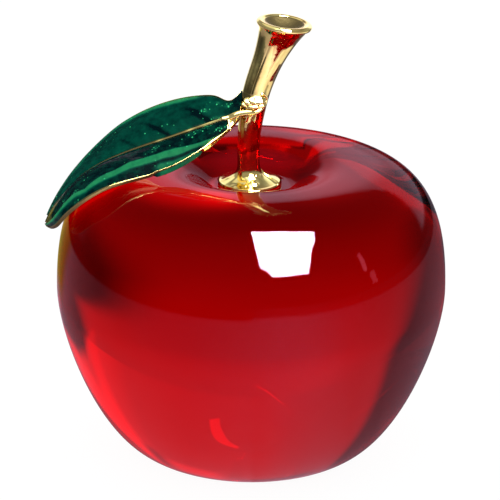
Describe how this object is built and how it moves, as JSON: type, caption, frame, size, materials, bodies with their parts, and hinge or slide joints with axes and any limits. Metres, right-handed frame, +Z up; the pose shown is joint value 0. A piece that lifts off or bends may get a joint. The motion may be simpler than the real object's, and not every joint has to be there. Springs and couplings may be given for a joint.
{
  "type": "glass apple paperweight",
  "caption": "Apple-shaped solid red crystal ornament with a leaning gilt stem glued in its dimple and an arched gilt leaf filled with green enamel.",
  "frame": {"origin": "centre of the flat ground base, on the surface that the apple stands on", "axes": "+Z up through the apple and its stem, -Y towards the front, -X the way the leaf points"},
  "size_m": [0.082, 0.08, 0.0915],
  "materials": {
    "red_crystal": "solid red crystal, ground and polished all over",
    "clear_glue": "clear cured glue",
    "gilt_casting": "zinc alloy casting, polished and bright gold plated",
    "soft_solder": "soft solder film",
    "gilt_leaf": "thin casting, polished and bright gold plated",
    "green_enamel": "translucent dark green enamel over textured metal, glossy"
  },
  "bodies": {
    "root": {"glass_body": "red_crystal", "stem_glue": "clear_glue", "stem": "gilt_casting", "clasp_solder": "soft_solder", "leaf_frame": "gilt_leaf", "far_enamel": "green_enamel", "near_enamel": "green_enamel"}
  },
  "joints": []
}
